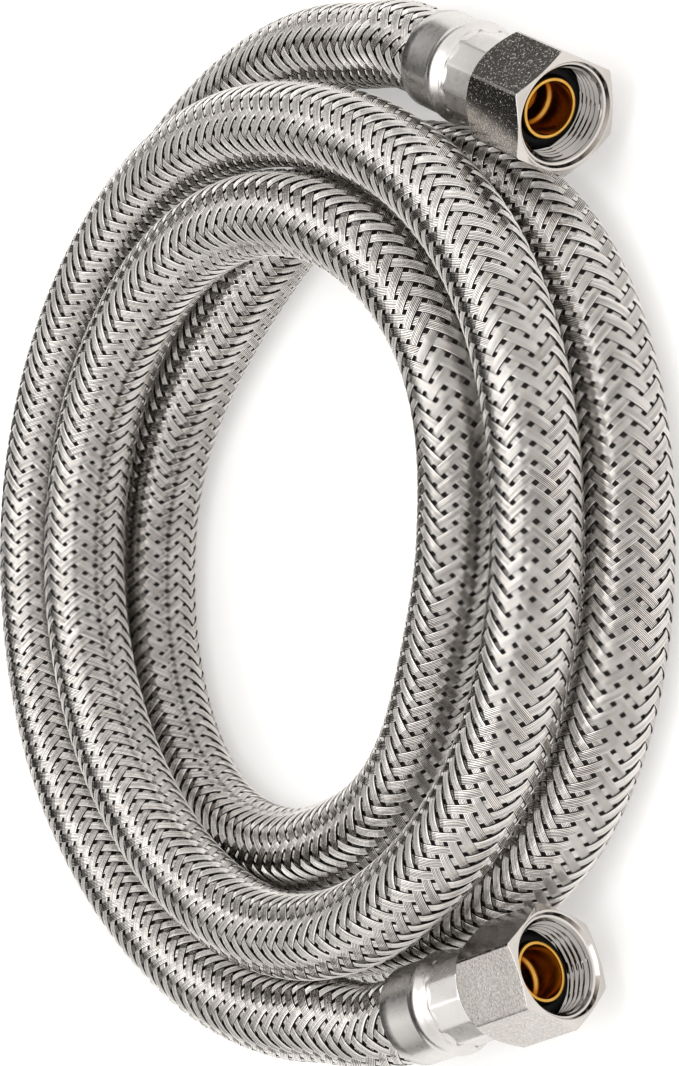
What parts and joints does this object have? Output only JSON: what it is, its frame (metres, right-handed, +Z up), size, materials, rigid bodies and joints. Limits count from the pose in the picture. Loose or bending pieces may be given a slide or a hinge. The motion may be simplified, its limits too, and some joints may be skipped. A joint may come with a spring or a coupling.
{
  "type": "braided supply line",
  "caption": "Braided stainless water supply line in a loose flat coil, with a swivelling threaded compression nut, brass insert and crimped ferrule at each end.",
  "frame": {"origin": "middle of the coil's outline, on the surface it lies on", "axes": "+Z up out of the flat coil, +X to the side the first fitting lies on, and both fittings point towards -Y"},
  "size_m": [0.1704, 0.1726, 0.0293],
  "materials": {
    "braid_steel": "bright woven wire",
    "liner_plastic": "smooth",
    "nut_plate": "satin nickel plating, slightly grainy on the flats",
    "insert_brass": "turned",
    "seal_rubber": "matt",
    "ferrule_steel": "polished"
  },
  "bodies": {
    "hose": {"steel_braid": "braid_steel", "inner_tube": "liner_plastic", "first_brass_insert": "insert_brass", "first_rubber_seal": "seal_rubber", "first_crimp_ferrule": "ferrule_steel", "second_brass_insert": "insert_brass", "second_rubber_seal": "seal_rubber", "second_crimp_ferrule": "ferrule_steel"},
    "first_nut": {"first_coupling_nut": "nut_plate"},
    "second_nut": {"second_coupling_nut": "nut_plate"}
  },
  "joints": [
    {"name": "first_nut_spin", "type": "hinge", "parent": "hose", "child": "first_nut", "pos_m": [0.06158, -0.07239, 0.01315], "axis": [-0.3581, -0.933, 0.0349], "continuous": true},
    {"name": "second_nut_spin", "type": "hinge", "parent": "hose", "child": "second_nut", "pos_m": [-0.06478, -0.07103, 0.0132], "axis": [0.3248, -0.9432, -0.0698], "continuous": true}
  ]
}
